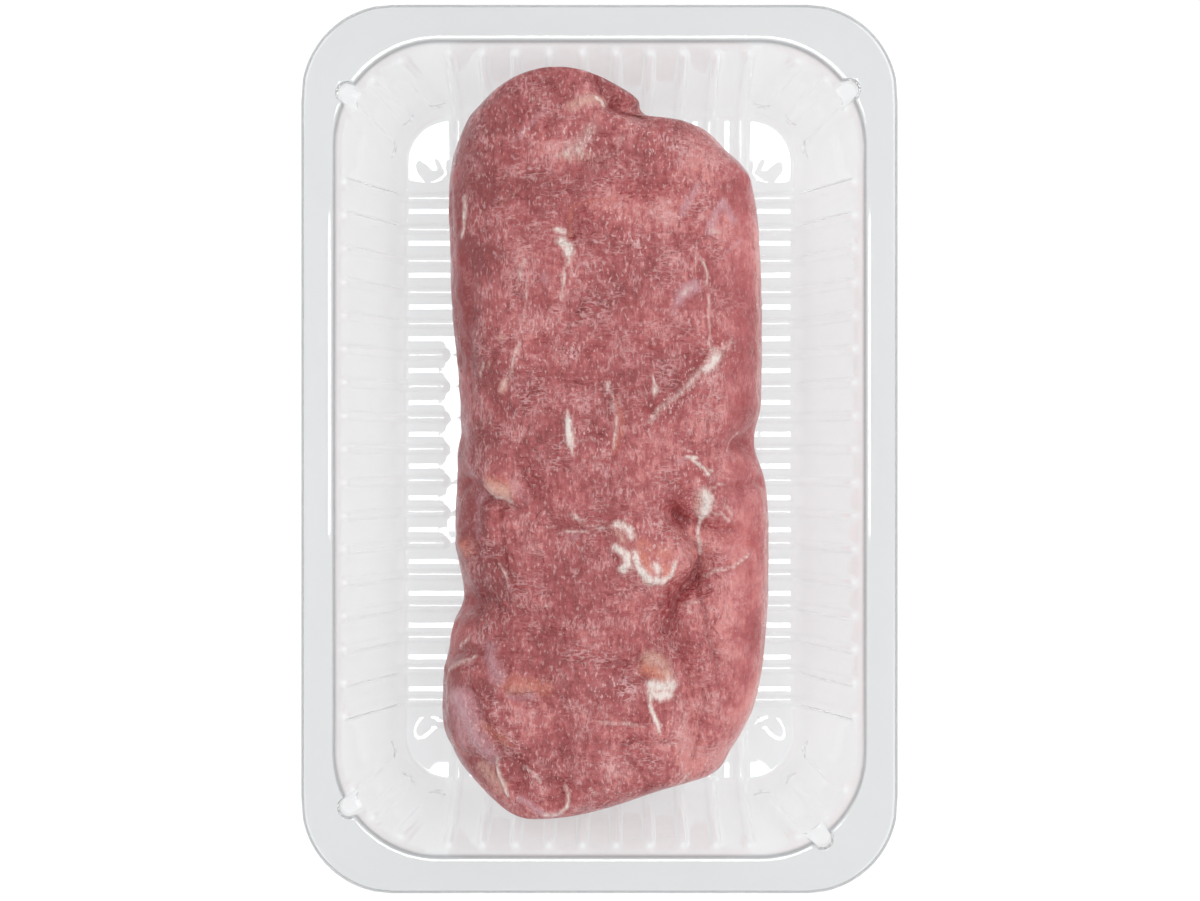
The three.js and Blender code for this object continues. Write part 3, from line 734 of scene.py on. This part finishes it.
def makeMeat():
    form = bmesh.new()
    bmesh.ops.create_uvsphere(form, u_segments=meat["around"], v_segments=meat["lengthwise"], radius=1)
    bmesh.ops.rotate(form, verts=form.verts, matrix=Matrix.Rotation(math.pi / 2, 3, "X"))
    form.verts.ensure_lookup_table()
    ball = np.array([vert.co for vert in form.verts])
    share = np.arcsin(np.clip(ball[:, 1], -1, 1)) / (np.pi / 2)
    angle = share * (0.8 + 0.2 * share ** 4) * np.pi / 2
    around = (np.arctan2(ball[:, 2], ball[:, 0]) / (2 * np.pi)) % 1
    over = meat["topShare"]
    turn = np.where(around < over, around / over, 1 + (around - over) / (1 - over)) * np.pi
    across, upward = np.cos(turn), np.sin(turn)
    topX, topY, _ = meat["topEnd"]
    bottomX, bottomY, _ = meat["bottomEnd"]
    y = (topY + bottomY) / 2 + (topY - bottomY) / 2 * np.sin(angle)
    power = 2 / np.where(upward > 0, meat["squareTop"], meat["squareUnder"])
    left, right = edgeCurve("left", angle), edgeCurve("right", angle)
    x = (left + right) / 2 + (right - left) / 2 * np.sign(across) * np.abs(across) ** power
    under, top, widest = meatHeights(y)
    thickness = np.where(upward > 0, top - widest, widest - under)
    z = widest + thickness * np.sign(upward) * np.abs(upward) ** power
    solid = np.stack([x, y, z], axis=1)
    wander = np.stack([softNoise(solid, 4.5, 11), softNoise(solid, 4.5, 12)], axis=1)
    plane = solid[:, :2] + 0.7 * wander
    ends = np.sqrt(np.maximum(np.cos(angle), 0))
    facing = np.clip(upward * 2, 0, 1) * ends
    rise = liftedBy(meat["swells"], solid[:, :2], 2) * facing
    narrow = [(height, width * meat["foldWidth"], path) for height, width, path in meat["folds"]]
    folds = liftedBy(narrow, plane, 1.3) * meat["foldDepth"]
    # painted shade: the deep folds are coloured darker along their middle, joined to the painted fold shade
    # marks
    deep = [fold for fold in meat["folds"] if fold[0] < meat["creaseShadeFrom"]]
    creaseShade = [(-height, width * meat["creaseShadeWidth"], path) for height, width, path in deep]
    creaseShade = liftedBy(creaseShade, plane, 1.6) * meat["creaseShadeStrength"]
    rise += folds * np.clip(upward * 5, 0, 1) * ends
    crosswise = solid * (0.35, 1, 1)
    slanted = solid @ np.array([[0.8, -0.6, 0], [0.6, 0.8, 0], [0, 0, 1]]) * (1, 0.4, 1)
    ripple = 0.3 * softNoise(crosswise, 3.4, 21) + 0.22 * softNoise(slanted, 2.6, 22)
    ripple += 0.5 * softNoise(solid, 11, 23) + 0.12 * softNoise(solid, 1.6, 24)
    smooth = softStep(solid[:, 0], 28, 40) * 0.6
    rise += ripple * (1 - smooth) * np.clip(upward * 4 + 0.6, 0.15, 1) * ends
    for name, relief in meat["relief"]:
        rise += relief * markStrength(meat[name], plane) * facing
    outward = np.stack([across * np.abs(across), np.zeros(len(y)), upward], axis=1)
    outward /= np.linalg.norm(outward, axis=1)[:, None] + 1e-9
    placed = solid + outward * rise[:, None]
    for vert, place in zip(form.verts, placed):
        vert.co = place
    bmesh.ops.recalc_face_normals(form, faces=form.faces)
    piece = newPiece("porkPiece", form)
    seen = softStep(upward, -0.05, 0.15)
    for name in ("fat", "cream", "orange", "lilac", "foldShade", "red", "glintPatches"):
        values = markStrength(meat[name], plane) * seen
        if name == "foldShade":
            values = np.maximum(values, np.clip(creaseShade, 0, 0.7) * seen)
        layer = piece.data.attributes.new(name, "FLOAT", "POINT")
        layer.data.foreach_set("value", values.astype(np.float32))
    calm = np.clip(0.75 * softStep(solid[:, 0], 34, 44) + softStep(-solid[:, 0], 36, 44), 0, 1)
    layer = piece.data.attributes.new("calm", "FLOAT", "POINT")
    layer.data.foreach_set("value", calm.astype(np.float32))
    layer = piece.data.attributes.new("tone", "FLOAT", "POINT")
    layer.data.foreach_set("value", meatTone(solid).astype(np.float32))
    return piece


def markStrength(lines, plane):
    strength = np.zeros(len(plane))
    for width, amount, path in lines:
        away = pathDistance(plane, path, width * 2)
        strength = np.maximum(strength, amount * (1 - softStep(away, 0, 1.5 * width)))
    return strength


def meatTone(solid):   # from 0, deep red, to 1, pale: the meat's own uneven tone, with painted shade darkening its left side and painted light on its right
    x, y = solid[:, 0], solid[:, 1]
    tone = 0.5 + 0.13 * softStep(x, 12, 45) - 0.4 * softStep(-x, 22, 42)
    tone += 0.12 * softStep(-y, -10, 40) * softStep(x, 0, 40)
    tone -= 0.12 * softStep(-y, 30, 60) * softStep(-x, -10, 20)
    tone += 0.14 * softStep(-y, 60, 90)
    return np.clip(tone + 0.12 * softNoise(solid, 16, 31), 0, 1)


plastic = {
    "wall": (233, 234, 235),     # drawn thinner than the rim
    "rim": (217, 219, 220),
    "edge": (150, 153, 155),     # painted shade: dark lines at the tight bends of mouth and lip
    "bend": 1.04,                # less than real plastic's, so that ribs stay pale under plain light
}


def plasticMaterial():   # clear sheet; lamps shine through it without a hard shadow
    material, tree, output = newMaterial("clearPlastic")
    coords = newNode(tree, "ShaderNodeTexCoord").outputs["Object"]
    waves = newNode(tree, "ShaderNodeTexNoise", {"Vector": coords, "Scale": 90, "Detail": 2})
    uneven = waves.outputs["Fac"]
    haze = newNode(tree, "ShaderNodeMapRange", {"Value": uneven, "To Min": 0.015, "To Max": 0.05})
    bump = newNode(tree, "ShaderNodeBump", {"Height": uneven, "Strength": 0.25, "Distance": 0.0004})
    thickAndEdgeShade = newNode(tree, "ShaderNodeAttribute", attribute_name="thickAndEdgeShade").outputs["Fac"]
    # the edge stop is painted shade, a dark line where the sheet bends
    shades = [(0, plastic["wall"]), (0.5, plastic["rim"]), (1, plastic["edge"])]
    clear = newRamp(tree, thickAndEdgeShade, shades)
    sheet = newNode(tree, "ShaderNodeBsdfPrincipled", {
        "Base Color": clear.outputs["Color"],
        "Roughness": haze.outputs["Result"],
        "IOR": plastic["bend"],
        "Transmission Weight": 1,
        "Coat Weight": 1,
        "Coat IOR": 1.5,
        "Coat Roughness": 0.03,
        "Normal": bump.outputs["Normal"],
    })
    edge = newNode(tree, "ShaderNodeLayerWeight", {"Blend": 0.5}).outputs["Facing"]
    cloud = newNode(tree, "ShaderNodeMath", {0: edge, 1: 0.14}, operation="MULTIPLY").outputs[0]
    matt = newNode(tree, "ShaderNodeBsdfDiffuse", {"Color": (0.95, 0.95, 0.95, 1)})
    body = newNode(tree, "ShaderNodeMixShader", {0: cloud, 1: sheet.outputs[0], 2: matt.outputs[0]})
    through = newNode(tree, "ShaderNodeBsdfTransparent", {"Color": tint(238, 238, 238)})
    ray = newNode(tree, "ShaderNodeLightPath")
    mix = newNode(tree, "ShaderNodeMixShader", {
        0: ray.outputs["Is Shadow Ray"],
        1: body.outputs[0],
        2: through.outputs[0],
    })
    tree.links.new(mix.outputs[0], output.inputs["Surface"])
    return material


def porkMaterial():
    material, tree, output = newMaterial("rawPork")
    coords = newNode(tree, "ShaderNodeTexCoord").outputs["Object"]

    def noise(scale, detail=3, rough=0.55, stretch=(1, 1, 1)):
        placed = newNode(tree, "ShaderNodeMapping", {"Vector": coords, "Scale": stretch})
        values = {"Vector": placed.outputs[0], "Scale": scale, "Detail": detail, "Roughness": rough}
        return newNode(tree, "ShaderNodeTexNoise", values).outputs["Fac"]

    def calc(operation, first, second):
        return newNode(tree, "ShaderNodeMath", {0: first, 1: second}, operation=operation).outputs[0]

    def spread(value, low, high, toLow=0.0, toHigh=1.0):
        values = {"Value": value, "From Min": low, "From Max": high, "To Min": toLow, "To Max": toHigh}
        return newNode(tree, "ShaderNodeMapRange", values, interpolation_type="SMOOTHSTEP").outputs["Result"]

    def blend(share, first, second):
        node = newNode(tree, "ShaderNodeMix", data_type="RGBA")
        for socket, value in zip((0, 6, 7), (share, first, second)):
            if isinstance(value, bpy.types.NodeSocket):
                tree.links.new(value, node.inputs[socket])
            else:
                node.inputs[socket].default_value = value
        return node.outputs[2]

    def attribute(name):
        return newNode(tree, "ShaderNodeAttribute", attribute_name=name).outputs["Fac"]

    def strands(scale, stretch, patchScale):   # thin pale lines in patches
        line = calc("ABSOLUTE", calc("SUBTRACT", noise(scale, 2, 0.6, stretch), 0.5), 0.0)
        patch = spread(noise(patchScale, 3), 0.46, 0.66)
        return calc("MULTIPLY", spread(line, 0.0, 0.08, 1.0, 0.0), patch)

    lively = calc("SUBTRACT", 1.0, calc("MULTIPLY", attribute("calm"), 0.78))
    broad = noise(60, 3)
    mottle = noise(420, 4, 0.65)
    fibre = noise(800, 3, 0.65, (1, 0.28, 1))
    grain = noise(2600, 2)
    tone = calc("ADD", attribute("tone"), calc("MULTIPLY", calc("SUBTRACT", broad, 0.5), 1.8))
    busy = calc("MULTIPLY", calc("SUBTRACT", mottle, 0.5), 1.3)
    busy = calc("ADD", busy, calc("MULTIPLY", calc("SUBTRACT", fibre, 0.5), 1.3))
    tone = calc("ADD", tone, calc("MULTIPLY", busy, lively))
    colour = newRamp(tree, tone, porkColours["muscle"]).outputs["Color"]
    # painted shade: thin grooves in the bump are coloured darker along their bottom
    grooveShade = calc("ABSOLUTE", calc("SUBTRACT", noise(110, 3, 0.5, (0.8, 1, 1)), 0.5), 0.0)
    grooveShade = calc("MULTIPLY", spread(grooveShade, 0.0, 0.035, 1.0, 0.0), spread(noise(70, 1), 0.48, 0.62))
    grooveShade = calc("MULTIPLY", grooveShade, lively)
    colour = blend(calc("MULTIPLY", grooveShade, 0.4), colour, tint(*porkColours["grooveShade"]))
    along = strands(680, (1, 0.25, 1), 120)
    across = strands(560, (0.35, 1, 1), 105)
    lines = calc("MULTIPLY", calc("MAXIMUM", along, across), lively)
    # pale fibre lines of the meat, drawn stronger in the glint patches as painted wet sheen
    amount = calc("ADD", calc("MULTIPLY", attribute("glintPatches"), 0.45), 0.55)
    colour = blend(calc("MULTIPLY", lines, amount), colour, tint(*porkColours["strandAndSheen"]))
    shred = noise(900, 4, 0.7, (1, 0.4, 1))
    ragged = calc("MULTIPLY", calc("SUBTRACT", shred, 0.5), 1.3)
    for name in ("red", "foldShade", "orange", "lilac", "cream", "fat"):
        value = attribute(name)
        edge = calc("MULTIPLY", ragged, calc("MINIMUM", calc("MULTIPLY", value, 3), 1))
        mask = spread(calc("ADD", value, edge), 0.12, 1.25)
        colour = blend(mask, colour, tint(*porkColours[name]))
    core = spread(calc("ADD", attribute("fat"), ragged), 0.6, 1.05)
    colour = blend(core, colour, tint(*porkColours["core"]))
    # painted highlights: pale specks all over stand in for small wet glints, with more of them in the glint
    # patches
    paintedGlints = spread(noise(1300, 2, 0.5, (1, 0.45, 1)), 0.57, 0.7)
    amount = calc("MULTIPLY", calc("ADD", calc("MULTIPLY", attribute("glintPatches"), 0.5), 0.36), lively)
    colour = blend(calc("MULTIPLY", paintedGlints, amount), colour, tint(*porkColours["glintColour"]))
    wrinkle = noise(650, 3, 0.6, (0.35, 1, 1))
    relief = calc("ADD", calc("MULTIPLY", mottle, 0.8), calc("MULTIPLY", fibre, 0.5))
    relief = calc("ADD", relief, calc("MULTIPLY", wrinkle, 0.9))
    relief = calc("ADD", relief, calc("MULTIPLY", grain, 0.15))
    relief = calc("ADD", relief, calc("MULTIPLY", lines, 0.25))
    relief = calc("SUBTRACT", relief, calc("MULTIPLY", grooveShade, 0.3))
    relief = calc("MULTIPLY", relief, lively)
    bump = newNode(tree, "ShaderNodeBump", {"Height": relief, "Strength": 0.9, "Distance": 0.0011})
    wet = spread(noise(140, 3), 0.35, 0.65, 0.24, 0.46)
    skin = newNode(tree, "ShaderNodeBsdfPrincipled", {
        "Base Color": colour,
        "Roughness": wet,
        "Specular IOR Level": 0.3,
        "Coat Weight": 0.7,
        "Coat Roughness": 0.1,
        "Normal": bump.outputs["Normal"],
        "Coat Normal": bump.outputs["Normal"],
    })
    tree.links.new(skin.outputs[0], output.inputs["Surface"])
    return material


porkColours = {
    "muscle": [(0.02, (133, 42, 45)), (0.32, (155, 62, 64)), (0.6, (175, 83, 85)), (0.98, (212, 132, 128))],
    "red": (196, 84, 76),
    "foldShade": (140, 50, 54),
    "grooveShade": (146, 54, 58),
    "orange": (210, 122, 98),
    "lilac": (196, 146, 154),
    "cream": (222, 174, 158),
    "fat": (236, 208, 200),
    "core": (240, 226, 220),
    "strandAndSheen": (232, 176, 177),
    "glintColour": (242, 202, 201),
}


def floorMaterial():
    material, tree, output = newMaterial("paleFloor")
    face = newNode(tree, "ShaderNodeBsdfPrincipled", {
        "Base Color": (studio["floorShade"],) * 3 + (1,),
        "Roughness": 0.9,
        "Emission Color": (1, 1, 1, 1),
        "Emission Strength": studio["floorGlow"],
    })
    tree.links.new(face.outputs[0], output.inputs["Surface"])
    return material


studio = {
    "floorSize": 4,
    "floorGap": 0.3,   # millimetres below the tray, so that no two faces lie in each other
    "floorGlow": 0.6,
    "floorShade": 0.45,
    "worldLight": 0.5,
    "worldGloss": 0.8,     # the pale walls around, as the plastic mirrors them
    "lamps": [   # place, point aimed at, size across and along, power
        ((0, 0.07, 1.5), (0, 0, 0), (0.3, 0.3), 2.4),
        ((0.8, 0.52, 0.8), (0, 0, 0.02), (0.75, 0.7), 4.3),
        ((0.8, -0.48, 0.8), (0, 0, 0.02), (0.75, 0.7), 2.8),
        ((-0.8, 0.52, 0.8), (0, 0, 0.02), (0.6, 0.6), 2.4),
        ((-0.8, -0.48, 0.8), (0, 0, 0.02), (0.6, 0.6), 1.6),
    ],
    "cameraPlace": (0.00015, -0.00045, 0.717),
    "lens": 67.4,
    "sensor": 36,
}


def makeStudio():
    form = bmesh.new()
    bmesh.ops.create_grid(form, x_segments=1, y_segments=1, size=studio["floorSize"] / 2 / metres)
    bmesh.ops.translate(form, verts=form.verts, vec=(0, 0, -studio["floorGap"]))
    floor = newPiece("floor", form)
    floor.data.materials.append(floorMaterial())
    scene = bpy.context.scene
    scene.view_settings.view_transform = "Standard"
    world = bpy.data.worlds.new("studioWorld")
    world.use_nodes = True
    scene.world = world
    tree = world.node_tree
    ray = newNode(tree, "ShaderNodeLightPath")
    light = newNode(tree, "ShaderNodeMapRange", {
        "Value": ray.outputs["Is Glossy Ray"],
        "To Min": studio["worldLight"],
        "To Max": studio["worldGloss"],
    })
    back = tree.nodes["Background"]
    back.inputs["Color"].default_value = (1, 1, 1, 1)
    tree.links.new(light.outputs["Result"], back.inputs["Strength"])
    for i, (place, aim, size, power) in enumerate(studio["lamps"]):
        data = bpy.data.lights.new(f"softbox{i + 1}", "AREA")
        data.shape = "RECTANGLE"
        data.size, data.size_y = size
        data.energy = power
        lamp = bpy.data.objects.new(data.name, data)
        lamp.location = place
        direction = Vector(aim) - Vector(place)
        lamp.rotation_euler = direction.to_track_quat("-Z", "Y").to_euler()
        scene.collection.objects.link(lamp)
    view = bpy.data.cameras.new("camera")
    view.lens = studio["lens"]
    view.sensor_width = studio["sensor"]
    view.clip_start = 0.01
    camera = bpy.data.objects.new("camera", view)
    camera.location = studio["cameraPlace"]
    scene.collection.objects.link(camera)
    scene.camera = camera


trayPiece = makeTray()
trayPiece.data.materials.append(plasticMaterial())
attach(trayPiece, "root")
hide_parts("tray")
print("tray made:", len(trayPiece.data.polygons), "faces")

porkPiece = makeMeat()
porkPiece.data.materials.append(porkMaterial())
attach(porkPiece, "root")
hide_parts("meat")
print("pork made:", len(porkPiece.data.polygons), "faces")

makeStudio()
print("floor, lamps and camera made")
